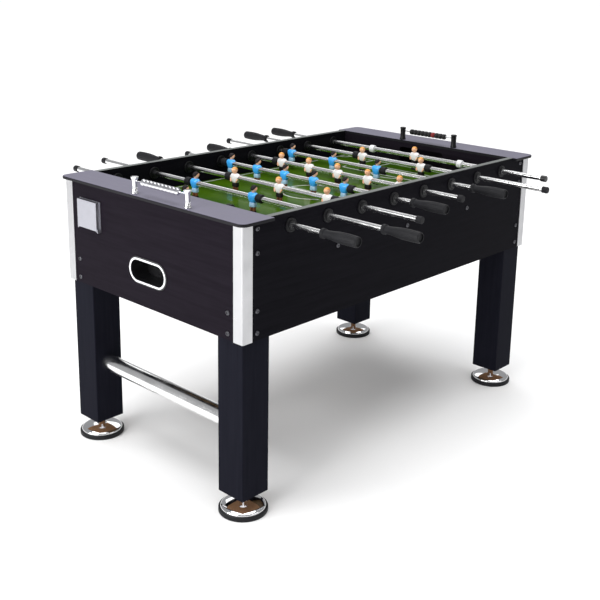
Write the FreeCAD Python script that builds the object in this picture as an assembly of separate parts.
"""Foosball table: a full-size table football cabinet with eight rods.

Millimetres, +Z up. X runs along the table, Y across it, and the origin is on the
floor under the middle of the table. The front is the -Y side.
"""

import FreeCAD, Part
import math
import os

V = FreeCAD.Vector

# ---------------------------------------------------------------- cabinet
table_length = 1400.0         # over the corner guards, along X
table_width = 800.0           # over the corner guards, along Y
table_height = 865.0          # floor to the top of the end boards
cabinet_depth = 334.0         # top of the end boards to the bottom of the panels
panel_thickness = 20.0
guard_thickness = 2.5
guard_leg = 36.0              # width of each face of a corner guard
guard_corner_radius = 5.0

top_board_width = 116.0       # end board, along X
top_board_thickness = 9.0
top_board_overhang = 12.0     # past the corner guards
top_board_corner_radius = 22.0
top_board_edge_radius = 3.0
rail_cap_thickness = 2.0

goal_wall_thickness = 16.0
goal_width = 200.0
goal_height = 70.0
goal_corner_radius = 12.0
goal_cheek_thickness = 12.0
goal_cheek_gap = 4.0          # between the goal mouth and the top of a cheek

playfield_depth = 96.0        # top of the end boards down to the playing surface
playfield_thickness = 16.0
playfield_batten_width = 20.0
playfield_batten_height = 42.0
playfield_gap = 0.5           # between the board and the walls around it

# ---------------------------------------------------------------- legs and feet
leg_size = 100.0
leg_inset = 10.0              # from the outside of the corner guards
leg_edge_radius = 3.0
leg_ground_gap = 62.0         # floor to the bottom of the leg
corner_post_size = 60.0       # the square post above each leg, inside the cabinet

crossbar_radius = 26.0
crossbar_wall = 2.5
crossbar_height = 260.0

foot_ring_radius = 71.0
foot_ring_height = 14.0
foot_ring_width = 5.5
foot_ring_bevel = 2.0
foot_dome_base_z = 5.0
foot_dome_height = 24.0
foot_dome_fullness = 0.75     # how far the dome's middle bulges towards its corner
foot_neck_radius = 11.0
foot_nut_radius = 13.0        # across the corners
foot_nut_height = 8.0
foot_nut_gap = 0.3
foot_stud_radius = 8.0
foot_stud_engagement = 55.0   # length of stud inside the leg
foot_stud_bore_spare = 10.0   # the bore in the leg is this much deeper than the stud
foot_travel = 20.0            # how far the foot can be screwed out

# ---------------------------------------------------------------- rods
rod_count = 8
rod_axis_drop = 36.0          # top of the end boards down to the rod axis
rod_radius = 8.0
rod_wall = 2.0
running_clearance = 0.05      # radial, of every turning or sliding fit
seat_clearance = 0.05         # radial, of parts pushed onto a rod
stop_gap = 0.5                # left between two parts where they would stop a rod

# Each rod by number: figures on it, the side of its grip, and where it rests along Y.
rod_figures = {1: 1, 2: 2, 3: 3, 4: 5, 5: 5, 6: 3, 7: 2, 8: 1}
grip_side = {1: -1, 2: -1, 3: 1, 4: -1, 5: 1, 6: -1, 7: 1, 8: 1}
rest_offset = {1: 43.0, 2: 36.0, 3: -62.0, 4: 62.0, 5: -44.0, 6: 113.0, 7: -36.0, 8: -29.0}

# With a rod in its middle place: the room between its outer bumper and the bearing, by
# the number of figures, then how far its tip and its grip stand out, by rod number.
bumper_room = {1: 159.0, 2: 195.0, 3: 125.0, 5: 65.0}
tip_standoff = {1: 165.0, 2: 222.0, 3: 148.0, 4: 98.0, 5: 98.0, 6: 148.0, 7: 222.0, 8: 139.0}
grip_standoff = {1: 150.0, 2: 227.0, 3: 186.0, 4: 124.0, 5: 124.0, 6: 186.0, 7: 227.0, 8: 211.0}

sleeve_wall = 3.0
sleeve_lip_width = 2.0
sleeve_lip_thickness = 2.5
sleeve_end_gap = 0.3
bearing_wall = 4.0
bearing_flange_width = 5.0
bearing_flange_thickness = 5.0

bumper_wall = 5.5
bumper_length = 22.0
bumper_edge_radius = 2.5
bumper_gap = 0.5              # between a bumper and the figure beside it
collar_length = 20.0          # of the two collars on a goalkeeper's rod
end_cap_wall = 2.5
end_cap_length = 18.0
end_cap_depth = 13.0
end_cap_edge_radius = 2.5

handle_length = 124.0
handle_radius = 16.0
handle_neck_wall = 3.0
handle_collar_wall = 6.0
handle_collar_length = 9.0
handle_collar_bevel = 1.0
handle_neck_run = 3.0         # from the collar to the narrowest place
handle_end_bevel = 3.0
handle_bore_depth = 102.0
handle_recess_radius = 11.5
handle_recess_depth = 4.0
handle_flute_count = 10
handle_flute_radius = 3.0
handle_flute_depth = 1.0
handle_flute_start = 40.0     # from the collar's end of the grip
handle_flute_length = 68.0

# ---------------------------------------------------------------- figures
figure_width = 38.0
figure_depth = 24.0
figure_corner_radius = 8.0
figure_shoulder_height = 14.0
figure_shoulder_radius = 4.5
figure_waist_depth = 17.0     # below the rod axis
figure_neck_radius = 5.5
figure_leg_width = 23.0
figure_leg_depth = 13.0
figure_leg_corner_radius = 3.0
figure_foot_depth = 20.0
figure_foot_height = 10.0
figure_reach = 52.0           # rod axis to the sole
figure_head_radius = 11.5
figure_head_height = 24.5     # rod axis to the middle of the head
figure_head_lean = 4.0

# ---------------------------------------------------------------- ball return
return_width = 174.0
return_height = 82.0
return_drop = 226.0           # top of the end boards down to the middle of the cup
return_flange_thickness = 2.0
return_ring_inset = 4.0       # from the edge of the flange to the raised ring
return_ring_width = 5.5
return_ring_thickness = 3.5   # from the face of the panel
return_wall = 3.0
return_cup_depth = 60.0

# ---------------------------------------------------------------- score counters
score_post_spacing = 234.0
score_post_radius = 8.0
score_post_flare_radius = 11.0
score_post_foot_height = 2.0
score_post_foot_slope = 6.0
score_post_cap_height = 4.0
score_post_cap_slope = 5.0
score_post_cap_bevel = 1.0
score_post_narrowing = 1.2    # the waist is this much narrower than the ends of the stem
score_wire_radius = 1.5
score_wire_depth = 3.2        # how far the wire reaches into a post
score_bead_count = 10
score_bead_radius = 10.0
score_bead_bevel = 4.0
score_bead_pitch = 16.3
score_bead_gap = 0.3
# Each end: where the posts stand along X (from the outer edge of the board), the
# middle of the pair along Y, post height and wire height over the board.
score_post_inset = {-1: 17.0, 1: 103.0}
score_middle = {-1: -62.0, 1: -20.0}
score_post_height = {-1: 50.0, 1: 47.0}
score_wire_height = {-1: 38.0, 1: 34.0}

# ---------------------------------------------------------------- drink holder
holder_width = 104.0
holder_height = 94.0
holder_inset = 125.0          # back of the table to the middle of the holder
holder_top_drop = 57.0        # top of the end boards down to the top of the plate
holder_plate_thickness = 2.0
holder_tray_thickness = 2.5
holder_tray_depth = 12.0
holder_back_gap = 0.5         # between the folded tray and the plate
holder_pin_radius = 2.0
holder_pin_rise = 6.0         # bottom of the plate up to the pins
holder_pin_length = 8.0
holder_knuckle_gap = 1.1      # between the round knuckles and the plate
holder_lug_thickness = 3.0
holder_lug_height = 12.0
holder_lug_margin = 4.0       # from the middle of a pin to the end of its lug
holder_side_gap = 0.5
holder_top_gap = 1.0

# ---------------------------------------------------------------- bolts
bolt_head_radius = 7.0
bolt_head_height = 3.5
bolt_head_rim = 1.4           # straight part of the head
bolt_head_dome_radius = 4.9
bolt_shank_radius = 4.0
bolt_socket_radius = 3.0
bolt_length = 45.0
corner_bolt_inset = 32.5      # inner face of the end panel to the bolts in a side panel
corner_bolt_rises = (21.0, 83.0)    # from the bottom of the cabinet
corner_bolt_drops = (91.0, 24.0)    # from the top of the end boards
middle_bolt_spacing = 325.0
middle_bolt_count = 3
end_bolt_inset = 37.5         # inner face of the side panel to the bolts in an end panel
end_bolt_rises = (18.0, 77.0)

# ---------------------------------------------------------------- worked out
panel_outer_x = table_length / 2 - guard_thickness
panel_outer_y = table_width / 2 - guard_thickness
panel_inner_x = panel_outer_x - panel_thickness
panel_inner_y = panel_outer_y - panel_thickness
cabinet_bottom = table_height - cabinet_depth
board_underside = table_height - top_board_thickness
board_outer_x = table_length / 2 + top_board_overhang
board_inner_x = board_outer_x - top_board_width
board_outer_y = table_width / 2 + top_board_overhang
field_top = table_height - playfield_depth
field_underside = field_top - playfield_thickness
batten_bottom = field_underside - playfield_batten_height
goal_wall_outer_x = board_inner_x + goal_wall_thickness

rod_spacing = 2 * board_inner_x / rod_count
rod_z = table_height - rod_axis_drop
sleeve_radius = rod_radius + sleeve_wall
bearing_radius = sleeve_radius + bearing_wall
sleeve_inner_y = panel_inner_y - bearing_flange_thickness - sleeve_end_gap - sleeve_lip_thickness
sleeve_outer_y = panel_outer_y + bearing_flange_thickness + sleeve_end_gap + sleeve_lip_thickness

leg_centre_x = table_length / 2 - leg_inset - leg_size / 2
leg_centre_y = table_width / 2 - leg_inset - leg_size / 2
post_centre_x = panel_inner_x - corner_post_size / 2
post_centre_y = panel_inner_y - corner_post_size / 2
return_rim_width = return_ring_inset + return_ring_width
return_z = table_height - return_drop

holder_middle_y = table_width / 2 - holder_inset
holder_bottom = table_height - holder_top_drop - holder_height
holder_plate_x = -panel_outer_x - holder_plate_thickness
holder_front_x = holder_plate_x - holder_back_gap - holder_tray_depth
holder_pin_x = holder_front_x + holder_tray_depth / 2
holder_pin_z = holder_bottom + holder_pin_rise
holder_knuckle_radius = holder_plate_x - holder_pin_x - holder_knuckle_gap


def box(x0, x1, y0, y1, z0, z1):
    """A box between two corners, given in any order."""
    low = V(min(x0, x1), min(y0, y1), min(z0, z1))
    return Part.makeBox(abs(x1 - x0), abs(y1 - y0), abs(z1 - z0), low)


def cylinder(radius, length, start, direction):
    return Part.makeCylinder(radius, length, start, direction)


def tube(outer, inner, length, start, direction):
    return cylinder(outer, length, start, direction).cut(cylinder(inner, length, start, direction))


def fillet_where(shape, radius, wanted):
    """Round the edges for which wanted(edge) is true."""
    edges = [edge for edge in shape.Edges if wanted(edge)]
    return shape.makeFillet(radius, edges)


def is_vertical(edge):
    box_of_edge = edge.BoundBox
    return box_of_edge.ZLength > 1.0 and box_of_edge.XLength < 0.01 and box_of_edge.YLength < 0.01


def revolve_z(points):
    """A turned solid from (radius, z) points, closed along the Z axis."""
    corners = [V(radius, 0, z) for radius, z in points]
    profile = Part.Face(Part.makePolygon(corners + corners[:1]))
    return profile.revolve(V(0, 0, 0), V(0, 0, 1), 360)


def along_y(shape, y, x, z, side):
    """Lay a shape that was turned about +Z along +Y or -Y, from the point given."""
    placed = shape.copy()
    placed.rotate(V(0, 0, 0), V(1, 0, 0), -90 * side)
    placed.translate(V(x, y, z))
    return placed


def mirrored_x(shape):
    return shape.mirror(V(0, 0, 0), V(1, 0, 0))


def mirrored_y(shape):
    return shape.mirror(V(0, 0, 0), V(0, 1, 0))


def export(name, solids):
    """Write one node: a single solid, or a group of separate solids."""
    shape = solids[0] if len(solids) == 1 else Part.makeCompound(solids)
    shape.exportStep("parts/" + name + ".step")


def rod_x(number):
    return (number - (rod_count + 1) / 2) * rod_spacing


# ---------------------------------------------------------------- cabinet
def side_panel(side):
    """A long panel between the end panels, bored for the eight bearings."""
    y_inner, y_outer = side * panel_inner_y, side * panel_outer_y
    top = table_height - rail_cap_thickness
    panel = box(-panel_outer_x, panel_outer_x, y_inner, y_outer, cabinet_bottom, board_underside)
    raised = box(-board_inner_x, board_inner_x, y_inner, y_outer, board_underside, top)
    panel = panel.fuse(raised).removeSplitter()
    for number in range(1, rod_count + 1):
        start = V(rod_x(number), y_inner - side, rod_z)
        panel = panel.cut(cylinder(bearing_radius, panel_thickness + 2, start, V(0, side, 0)))
    for x, z in side_bolt_places():
        panel = panel.cut(bolt_hole(V(x, y_outer, z), V(0, -side, 0)))
    return panel


def end_panel(side):
    """A short panel with the opening for the ball return cup."""
    x_inner, x_outer = side * panel_inner_x, side * panel_outer_x
    panel = box(x_inner, x_outer, -panel_inner_y, panel_inner_y, cabinet_bottom, board_underside)
    opening = return_outline(return_rim_width - return_wall)
    panel = panel.cut(stadium_prism(opening, side, panel_inner_x - 1, panel_thickness + 2))
    for y, z in end_bolt_places():
        panel = panel.cut(bolt_hole(V(x_outer, y, z), V(-side, 0, 0)))
    return panel


def goal_wall(side):
    """The inner wall of a goal box, with the goal mouth."""
    x_inner, x_outer = side * board_inner_x, side * goal_wall_outer_x
    wall = box(x_inner, x_outer, -panel_inner_y, panel_inner_y, cabinet_bottom, board_underside)
    mouth = box(side * (board_inner_x - 1), side * (goal_wall_outer_x + 1),
                -goal_width / 2, goal_width / 2, field_top, field_top + goal_height)
    upper = field_top + goal_height - 0.01
    mouth = fillet_where(mouth, goal_corner_radius, lambda edge: edge.BoundBox.XLength > 1
                         and edge.BoundBox.YLength < 0.01 and edge.BoundBox.ZMin > upper)
    return wall.cut(mouth)


def goal_cheek(side, side_y):
    """A slanting board in a goal box that leads the ball from the mouth to the return cup."""
    top_y = goal_width / 2 + goal_cheek_gap
    bottom_y = return_width / 2 - return_rim_width
    bottom_z = return_z + return_height / 2
    corners = [(top_y, board_underside), (top_y + goal_cheek_thickness, board_underside),
               (top_y + goal_cheek_thickness, field_top), (bottom_y + goal_cheek_thickness, bottom_z),
               (bottom_y, bottom_z), (top_y, field_top)]
    outline = [V(side * goal_wall_outer_x, side_y * y, z) for y, z in corners]
    face = Part.Face(Part.makePolygon(outline + outline[:1]))
    return face.extrude(V(side * (panel_inner_x - goal_wall_outer_x), 0, 0))


def top_board(side):
    """A flat end board with rounded outer corners."""
    board = box(side * board_inner_x, side * board_outer_x, -board_outer_y, board_outer_y,
                board_underside, table_height)
    board = fillet_where(board, top_board_corner_radius,
                         lambda edge: is_vertical(edge) and abs(edge.BoundBox.XMin) > board_inner_x + 1)
    rim = [edge for edge in board.Edges
           if edge.BoundBox.ZMin > table_height - 0.01 and abs(edge.CenterOfMass.x) > board_inner_x + 1]
    return board.makeFillet(top_board_edge_radius, rim)


def rail_cap(side):
    """The thin strip along the top of a side panel."""
    return box(-board_inner_x, board_inner_x, side * panel_inner_y, side * panel_outer_y,
               table_height - rail_cap_thickness, table_height)


def corner_guard(side_x, side_y):
    """An angle over one corner of the cabinet, with a rounded outer corner."""
    outer_x, outer_y = table_length / 2, table_width / 2
    block = box(outer_x - guard_leg, outer_x, outer_y - guard_leg, outer_y, cabinet_bottom, board_underside)
    block = fillet_where(block, guard_corner_radius, lambda edge: is_vertical(edge)
                         and edge.BoundBox.XMin > outer_x - 0.01 and edge.BoundBox.YMin > outer_y - 0.01)
    hollow = box(0, panel_outer_x, 0, panel_outer_y, cabinet_bottom - 1, board_underside + 1)
    return to_corner(block.cut(hollow), side_x, side_y)


def playfield():
    """The playing board, and the four battens glued under its edge."""
    half_x = board_inner_x - playfield_gap
    half_y = panel_inner_y - playfield_gap
    short_y = half_y - playfield_batten_width
    pieces = [box(-half_x, half_x, -half_y, half_y, field_underside, field_top)]
    for side in (-1, 1):
        long_batten = box(-half_x, half_x, side * half_y, side * short_y, batten_bottom, field_underside)
        for x, z in side_bolt_places():
            long_batten = long_batten.cut(bolt_hole(V(x, side * panel_outer_y, z), V(0, -side, 0)))
        short_batten = box(side * half_x, side * (half_x - playfield_batten_width), -short_y, short_y,
                           batten_bottom, field_underside)
        pieces += [long_batten, short_batten]
    return pieces


# ---------------------------------------------------------------- ball return
def return_outline(inset):
    """The flange's stadium outline moved inwards: half its straight length, its end radius."""
    radius = return_height / 2 - inset
    return return_width / 2 - inset - radius, radius


def stadium_prism(outline, side, x_start, length):
    """A stadium lying in the YZ plane, pushed outwards along X from x_start."""
    straight, radius = outline
    ends = [cylinder(radius, length, V(side * x_start, side_y * straight, return_z), V(side, 0, 0))
            for side_y in (-1, 1)]
    middle = box(side * x_start, side * (x_start + length), -straight, straight,
                 return_z - radius, return_z + radius)
    return ends[0].fuse(ends[1]).fuse(middle).removeSplitter()


def return_cup(side):
    """A cup open to the outside of the end panel, and on top towards the goal box."""
    mouth = return_outline(return_rim_width)
    back = panel_outer_x - return_cup_depth
    cup = stadium_prism(return_outline(return_rim_width - return_wall), side, back, return_cup_depth)
    flange = stadium_prism(return_outline(0), side, panel_outer_x, return_flange_thickness)
    ring = stadium_prism(return_outline(return_ring_inset), side, panel_outer_x, return_ring_thickness)
    cup = cup.fuse(flange).fuse(ring).removeSplitter()
    inside = return_cup_depth - return_wall + return_ring_thickness + 1
    cup = cup.cut(stadium_prism(mouth, side, back + return_wall, inside))
    straight, radius = mouth
    chute = box(side * (back + return_wall), side * (panel_inner_x - return_wall), -straight, straight,
                return_z, return_z + radius + return_wall + return_rim_width)
    return cup.cut(chute)


# ---------------------------------------------------------------- legs and feet
def square_post(x, y, size, z0, z1):
    half = size / 2
    return box(x - half, x + half, y - half, y + half, z0, z1)


def to_corner(shape, side_x, side_y):
    """Move a shape made for the +X +Y corner to another corner by mirroring."""
    if side_x < 0:
        shape = mirrored_x(shape)
    if side_y < 0:
        shape = mirrored_y(shape)
    return shape


def leg():
    """A square leg with a bore for the stud of its foot."""
    square = square_post(leg_centre_x, leg_centre_y, leg_size, leg_ground_gap, cabinet_bottom)
    square = fillet_where(square, leg_edge_radius, is_vertical)
    bore = cylinder(foot_stud_radius + running_clearance, foot_stud_engagement + foot_stud_bore_spare,
                    V(leg_centre_x, leg_centre_y, leg_ground_gap), V(0, 0, 1))
    return square.cut(bore)


def corner_post():
    """The post in the corner of the cabinet that the panels are bolted to."""
    post = square_post(post_centre_x, post_centre_y, corner_post_size, cabinet_bottom, board_underside)
    for x, z in side_bolt_places():
        post = post.cut(bolt_hole(V(x, panel_outer_y, z), V(0, -1, 0)))
    for y, z in end_bolt_places():
        post = post.cut(bolt_hole(V(panel_outer_x, y, z), V(-1, 0, 0)))
    return post


def crossbar():
    """A round bar between the two legs at the -X end."""
    reach = leg_centre_y - leg_size / 2
    return tube(crossbar_radius, crossbar_radius - crossbar_wall, 2 * reach,
                V(-leg_centre_x, -reach, crossbar_height), V(0, 1, 0))


def foot_ring():
    """The rubber ring that stands on the floor."""
    inner = foot_ring_radius - foot_ring_width
    bevelled = foot_ring_radius - foot_ring_bevel
    return revolve_z([(inner, 0), (bevelled, 0), (foot_ring_radius, foot_ring_bevel),
                      (foot_ring_radius, foot_ring_height - foot_ring_bevel), (bevelled, foot_ring_height),
                      (inner, foot_ring_height)])


def foot_metal():
    """The dome with its neck, nut and stud."""
    nut_top = leg_ground_gap - foot_nut_gap
    nut_bottom = nut_top - foot_nut_height
    rim = foot_ring_radius - foot_ring_width
    top = foot_dome_base_z + foot_dome_height
    middle = V(foot_neck_radius + (rim - foot_neck_radius) * foot_dome_fullness, 0,
               foot_ring_height + (top - foot_ring_height) * foot_dome_fullness)
    rim_edge, neck_edge = V(rim, 0, foot_ring_height), V(foot_neck_radius, 0, top)
    inside = Part.makePolygon([neck_edge, V(foot_neck_radius, 0, nut_bottom), V(0, 0, nut_bottom),
                               V(0, 0, foot_dome_base_z), V(rim, 0, foot_dome_base_z), rim_edge])
    arch = Part.Arc(rim_edge, middle, neck_edge).toShape()
    dome = Part.Face(Part.Wire([arch] + inside.Edges)).revolve(V(0, 0, 0), V(0, 0, 1), 360)
    corners = [V(foot_nut_radius * math.cos(math.radians(60 * step)),
                 foot_nut_radius * math.sin(math.radians(60 * step)), nut_bottom) for step in range(6)]
    nut = Part.Face(Part.makePolygon(corners + corners[:1])).extrude(V(0, 0, foot_nut_height))
    stud = cylinder(foot_stud_radius, foot_stud_engagement + foot_nut_gap, V(0, 0, nut_top), V(0, 0, 1))
    return dome.fuse(nut).fuse(stud).removeSplitter()


def foot(side_x, side_y):
    """A levelling foot under one leg."""
    pieces = [foot_metal(), foot_ring()]
    for piece in pieces:
        piece.translate(V(side_x * leg_centre_x, side_y * leg_centre_y, 0))
    return pieces


# ---------------------------------------------------------------- bolts
def side_bolt_places():
    """(x, z) of the bolts through a side panel."""
    heights = [cabinet_bottom + rise for rise in corner_bolt_rises]
    heights += [table_height - drop for drop in corner_bolt_drops]
    corner = [(side * (panel_inner_x - corner_bolt_inset), z) for side in (-1, 1) for z in heights]
    batten_middle = (field_underside + batten_bottom) / 2
    steps = [number - (middle_bolt_count - 1) / 2 for number in range(middle_bolt_count)]
    return corner + [(step * middle_bolt_spacing, batten_middle) for step in steps]


def end_bolt_places():
    """(y, z) of the bolts through an end panel."""
    y = panel_inner_y - end_bolt_inset
    return [(side * y, cabinet_bottom + rise) for side in (-1, 1) for rise in end_bolt_rises]


def bolt_hole(start, inwards):
    return cylinder(bolt_shank_radius, bolt_length, start, inwards)


def bolt(start, inwards):
    """A bolt with a domed socket head, driven inwards from the panel's face."""
    head = revolve_z([(0, 0), (bolt_head_radius, 0), (bolt_head_radius, bolt_head_rim),
                      (bolt_head_dome_radius, bolt_head_height), (0, bolt_head_height)])
    socket = cylinder(bolt_socket_radius, bolt_head_height, V(0, 0, bolt_head_rim), V(0, 0, 1))
    shank = cylinder(bolt_shank_radius, bolt_length, V(0, 0, -bolt_length), V(0, 0, 1))
    whole = head.cut(socket).fuse(shank).removeSplitter()
    turn = FreeCAD.Rotation(V(0, 0, -1), inwards)
    whole.Placement = FreeCAD.Placement(start, turn)
    return whole


def bolts():
    found = []
    for side in (-1, 1):
        found += [bolt(V(x, side * panel_outer_y, z), V(0, -side, 0)) for x, z in side_bolt_places()]
        found += [bolt(V(side * panel_outer_x, y, z), V(-side, 0, 0)) for y, z in end_bolt_places()]
    return found


# ---------------------------------------------------------------- rods
def outer_figure(number):
    """How far the outermost figure stands from the rod's middle."""
    room = sleeve_inner_y - stop_gap - bumper_room[rod_figures[number]]
    return room - bumper_length - bumper_gap - figure_width / 2


def figure_offsets(number):
    """Where the figures stand along the rod, from its middle."""
    count = rod_figures[number]
    if count == 1:
        return [0.0]
    outer = outer_figure(number)
    return [outer * (2 * place / (count - 1) - 1) for place in range(count)]


def stopper(number):
    """(middle offset, length) of the bumper or collar at each end of the figures."""
    length = collar_length if rod_figures[number] == 1 else bumper_length
    return sleeve_inner_y - stop_gap - bumper_room[rod_figures[number]] - length / 2, length


def rod_bearing(number, side):
    """A flanged housing through the side panel."""
    axis = V(0, side, 0)
    bore = sleeve_radius + running_clearance
    start = panel_inner_y - bearing_flange_thickness
    length = panel_thickness + 2 * bearing_flange_thickness
    body = tube(bearing_radius, bore, length, V(rod_x(number), side * start, rod_z), axis)
    for y in (start, panel_outer_y):
        body = body.fuse(tube(bearing_radius + bearing_flange_width, bore, bearing_flange_thickness,
                              V(rod_x(number), side * y, rod_z), axis))
    return body.removeSplitter()


def rod_sleeve(number, side):
    """The bush that turns in the housing; the rod slides through it."""
    axis = V(0, side, 0)
    bore = rod_radius + running_clearance
    body = tube(sleeve_radius, bore, sleeve_outer_y - sleeve_inner_y,
                V(rod_x(number), side * sleeve_inner_y, rod_z), axis)
    for y in (sleeve_inner_y, sleeve_outer_y - sleeve_lip_thickness):
        body = body.fuse(tube(sleeve_radius + sleeve_lip_width, bore, sleeve_lip_thickness,
                              V(rod_x(number), side * y, rod_z), axis))
    return body.removeSplitter()


def rod_ends(number):
    """Distances from the rod's middle to the inner end of the grip and to the plain tip."""
    return sleeve_outer_y + grip_standoff[number], sleeve_outer_y + tip_standoff[number]


def rod_tube(number):
    side = grip_side[number]
    grip_start, tip = rod_ends(number)
    middle = rest_offset[number]
    plain_end = tip - (end_cap_length - end_cap_depth)
    start = V(rod_x(number), middle - side * plain_end, rod_z)
    length = plain_end + grip_start + handle_bore_depth - 1
    return tube(rod_radius, rod_radius - rod_wall, length, start, V(0, side, 0))


def handle_blank():
    """The turned grip along +Z from its collar, with flutes and a blind bore."""
    length = handle_length
    neck, full = rod_radius + handle_neck_wall, handle_radius
    collar = rod_radius + handle_collar_wall
    neck_z = handle_collar_length + handle_neck_run
    rim = full - handle_end_bevel / 3
    bevel_z = length - handle_end_bevel
    outline = [V(0, 0, 0), V(collar - handle_collar_bevel, 0, 0), V(collar, 0, handle_collar_bevel),
               V(collar, 0, handle_collar_length), V(neck, 0, neck_z)]
    swell = Part.BSplineCurve()
    swell.interpolate([V(neck, 0, neck_z), V(neck + (full - neck) * 0.15, 0, length * 0.22),
                       V(neck + (full - neck) * 0.85, 0, length * 0.5), V(full, 0, length * 0.72),
                       V(rim, 0, bevel_z)])
    closing = [V(rim, 0, bevel_z), V(full - handle_end_bevel, 0, length), V(0, 0, length), V(0, 0, 0)]
    wire = Part.Wire(Part.makePolygon(outline).Edges + [swell.toShape()] + Part.makePolygon(closing).Edges)
    grip = Part.Face(wire).revolve(V(0, 0, 0), V(0, 0, 1), 360)
    distance = full - handle_flute_depth + handle_flute_radius
    for step in range(handle_flute_count):
        angle = 2 * math.pi * step / handle_flute_count
        start = V(distance * math.cos(angle), distance * math.sin(angle), handle_flute_start)
        grip = grip.cut(cylinder(handle_flute_radius, handle_flute_length, start, V(0, 0, 1)))
    grip = grip.cut(cylinder(rod_radius + seat_clearance, handle_bore_depth, V(0, 0, 0), V(0, 0, 1)))
    recess = cylinder(handle_recess_radius, handle_recess_depth, V(0, 0, length - handle_recess_depth),
                      V(0, 0, 1))
    return grip.cut(recess)


def rod_handle(number, blank):
    side = grip_side[number]
    start = rest_offset[number] + side * rod_ends(number)[0]
    return along_y(blank, start, rod_x(number), rod_z, side)


def end_cap(number):
    """The plug over the plain tip of a rod."""
    side = -grip_side[number]
    tip = rest_offset[number] + side * rod_ends(number)[1]
    cap = cylinder(rod_radius + end_cap_wall, end_cap_length, V(0, 0, -end_cap_length), V(0, 0, 1))
    cap = fillet_where(cap, end_cap_edge_radius, lambda edge: edge.BoundBox.ZMin > -0.01)
    cap = cap.cut(cylinder(rod_radius + seat_clearance, end_cap_depth, V(0, 0, -end_cap_length), V(0, 0, 1)))
    return along_y(cap, tip, rod_x(number), rod_z, side)


def rod_bumpers(number):
    """Two rubber bumpers (or goalkeeper collars) and the end cap."""
    middle, length = stopper(number)
    found = []
    for side in (-1, 1):
        y = rest_offset[number] + side * middle
        start = V(rod_x(number), y - length / 2, rod_z)
        ring = cylinder(rod_radius + bumper_wall, length, start, V(0, 1, 0))
        ring = fillet_where(ring, bumper_edge_radius, lambda edge: edge.BoundBox.YLength < 0.01)
        bore = cylinder(rod_radius + seat_clearance, length, start, V(0, 1, 0))
        found.append(ring.cut(bore))
    return found + [end_cap(number)]


# ---------------------------------------------------------------- figures
def rounded_block(half_x, half_y, z0, z1, radius):
    block = box(-half_x, half_x, -half_y, half_y, z0, z1)
    return fillet_where(block, radius, is_vertical)


def figure_blank():
    """A figure that faces +X, with the rod axis through its chest along Y."""
    shoulder, waist, ankle = figure_shoulder_height, -figure_waist_depth, figure_foot_height - figure_reach
    torso = rounded_block(figure_depth / 2, figure_width / 2, waist, shoulder, figure_corner_radius)
    torso = fillet_where(torso, figure_shoulder_radius, lambda edge: edge.BoundBox.ZMin > shoulder - 0.01)
    head = Part.makeSphere(figure_head_radius, V(figure_head_lean, 0, figure_head_height))
    neck_base = (shoulder + waist) / 2 + rod_radius
    neck = cylinder(figure_neck_radius, figure_head_height - neck_base,
                    V(figure_head_lean / 2, 0, neck_base), V(0, 0, 1))
    legs = rounded_block(figure_leg_depth / 2, figure_leg_width / 2, ankle, waist, figure_leg_corner_radius)
    shoe = rounded_block(figure_foot_depth / 2, figure_leg_width / 2, -figure_reach, ankle,
                         figure_leg_corner_radius)
    whole = torso.fuse([head, neck, legs, shoe]).removeSplitter()
    bore = cylinder(rod_radius + seat_clearance, figure_width + 2, V(0, -figure_width / 2 - 1, 0),
                    V(0, 1, 0))
    return whole.cut(bore)


def rod_players(number, blank):
    """The figures of one rod. Those on rods with a back grip face -X."""
    found = []
    for offset in figure_offsets(number):
        figure = blank.copy()
        if grip_side[number] > 0:
            figure.rotate(V(0, 0, 0), V(0, 0, 1), 180)
        figure.translate(V(rod_x(number), rest_offset[number] + offset, rod_z))
        found.append(figure)
    return found


# ---------------------------------------------------------------- score counters
def score_post(x, y, height):
    """A turned post, flared at its foot and its cap."""
    stem, flare = score_post_radius, score_post_flare_radius
    stem_low = score_post_foot_height + score_post_foot_slope
    stem_high = height - score_post_cap_height - score_post_cap_slope
    post = revolve_z([(0, 0), (flare, 0), (flare, score_post_foot_height), (stem, stem_low),
                      (stem - score_post_narrowing, height / 2), (stem, stem_high),
                      (flare, height - score_post_cap_height), (flare, height - score_post_cap_bevel),
                      (flare - score_post_cap_bevel, height), (0, height)])
    post.translate(V(x, y, table_height))
    return post


def score_places(side):
    """x of the counter, then y of its two posts."""
    x = side * (board_outer_x - score_post_inset[side])
    half = score_post_spacing / 2
    return x, score_middle[side] - half, score_middle[side] + half


def score_frame(side):
    """Two posts and the wire between them."""
    x, y_low, y_high = score_places(side)
    z = table_height + score_wire_height[side]
    inset = score_post_radius - score_wire_depth
    start = V(x, y_low + inset, z)
    length = y_high - y_low - 2 * inset
    found = []
    for y, direction in ((y_low, 1), (y_high, -1)):
        socket = cylinder(score_wire_radius, score_post_radius * 2, V(x, y + direction * inset, z),
                          V(0, direction, 0))
        found.append(score_post(x, y, score_post_height[side]).cut(socket))
    return found + [cylinder(score_wire_radius, length, start, V(0, 1, 0))]


def score_beads(side):
    """Ten beads on the wire, side by side in the middle of it."""
    x = score_places(side)[0]
    z = table_height + score_wire_height[side]
    thickness = score_bead_pitch - score_bead_gap
    group = score_bead_pitch * score_bead_count
    rim, bore = score_bead_radius - score_bead_bevel, score_wire_radius + running_clearance
    bead = revolve_z([(bore, 0), (rim, 0), (score_bead_radius, score_bead_bevel),
                      (score_bead_radius, thickness - score_bead_bevel), (rim, thickness),
                      (bore, thickness)])
    first = score_middle[side] - group / 2
    return [along_y(bead, first + step * score_bead_pitch, x, z, 1) for step in range(score_bead_count)]


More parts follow.
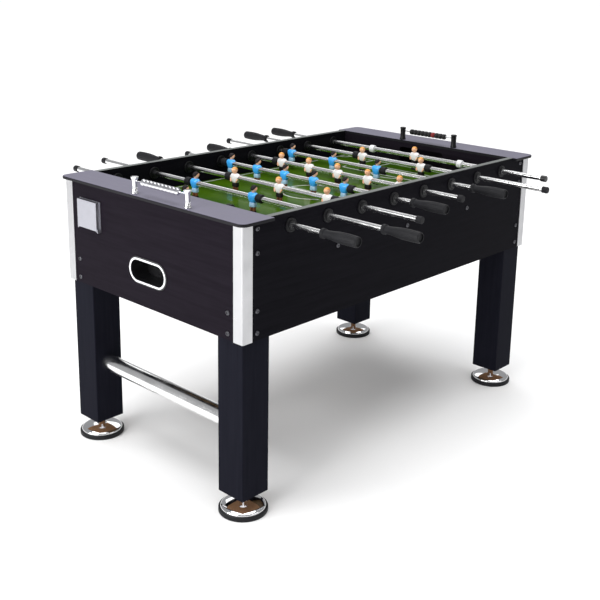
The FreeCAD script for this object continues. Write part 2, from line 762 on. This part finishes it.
# ---------------------------------------------------------------- drink holder
def drink_holder_plate():
    """The fixed plate with a lug and a pin at each side of its bottom edge."""
    half = holder_width / 2
    back = -panel_outer_x
    plate = box(back, holder_plate_x, holder_middle_y - half, holder_middle_y + half,
                holder_bottom, holder_bottom + holder_height)
    for side in (-1, 1):
        y_outer = holder_middle_y + side * half
        lug = box(back, holder_pin_x - holder_lug_margin, y_outer, y_outer - side * holder_lug_thickness,
                  holder_bottom, holder_bottom + holder_lug_height)
        pin = cylinder(holder_pin_radius, holder_pin_length, V(holder_pin_x, y_outer, holder_pin_z),
                       V(0, -side, 0))
        plate = plate.fuse(lug).fuse(pin)
    return plate.removeSplitter()


def drink_holder_tray():
    """The tray that folds down about the pins, with a rim on its sides and top.

    Nothing but its two round knuckles reaches below the pins, so it clears the plate.
    """
    half = holder_width / 2 - holder_lug_thickness - holder_side_gap
    front, back = holder_front_x, holder_front_x + holder_tray_depth
    low, high = holder_pin_z, holder_bottom + holder_height - holder_top_gap
    sheet = holder_tray_thickness
    tray = box(front, front + sheet, holder_middle_y - half, holder_middle_y + half, low, high)
    tray = tray.fuse(box(front, back, holder_middle_y - half, holder_middle_y + half, high - sheet, high))
    for side in (-1, 1):
        y_outer = holder_middle_y + side * half
        rim = box(front, back, y_outer, y_outer - side * sheet, low, high)
        knuckle = cylinder(holder_knuckle_radius, sheet, V(holder_pin_x, y_outer, low), V(0, -side, 0))
        hole = cylinder(holder_pin_radius + running_clearance, holder_pin_length,
                        V(holder_pin_x, y_outer, low), V(0, -side, 0))
        tray = tray.fuse(rim).fuse(knuckle).cut(hole)
    return tray.removeSplitter()


def corners():
    return [(side_x, side_y) for side_x in (-1, 1) for side_y in (-1, 1)]


def build():
    os.makedirs("parts", exist_ok=True)
    sides = (-1, 1)
    export("side_panels", [side_panel(side) for side in sides])
    export("end_panels", [end_panel(side) for side in sides])
    cheeks = [goal_cheek(side, side_y) for side in sides for side_y in sides]
    export("goal_boxes", [goal_wall(side) for side in sides] + cheeks)
    export("top_boards", [top_board(side) for side in sides] + [rail_cap(side) for side in sides])
    export("corner_guards", [corner_guard(*corner) for corner in corners()])
    export("playfield", playfield())
    export("ball_return_cups", [return_cup(side) for side in sides])
    export("legs", [to_corner(piece, *corner) for corner in corners() for piece in (leg(), corner_post())])
    export("crossbar", [crossbar()])
    export("bolts", bolts())
    for side_x, side_y in corners():
        name = "foot_" + ("front" if side_y < 0 else "back") + "_" + ("left" if side_x < 0 else "right")
        export(name, foot(side_x, side_y))

    handle = handle_blank()
    figure = figure_blank()
    numbers = range(1, rod_count + 1)
    export("rod_bearings", [rod_bearing(number, side) for number in numbers for side in sides])
    for number in numbers:
        name = "rod_%d_" % number
        export(name + "sleeves", [rod_sleeve(number, side) for side in sides])
        export(name + "tube", [rod_tube(number)])
        export(name + "handle", [rod_handle(number, handle)])
        export(name + "bumpers", rod_bumpers(number))
        export(name + "players", rod_players(number, figure))

    export("score_posts", score_frame(-1) + score_frame(1))
    export("score_beads_left", score_beads(-1))
    export("score_beads_right", score_beads(1))
    export("drink_holder_plate", [drink_holder_plate()])
    export("drink_holder_tray", [drink_holder_tray()])


build()
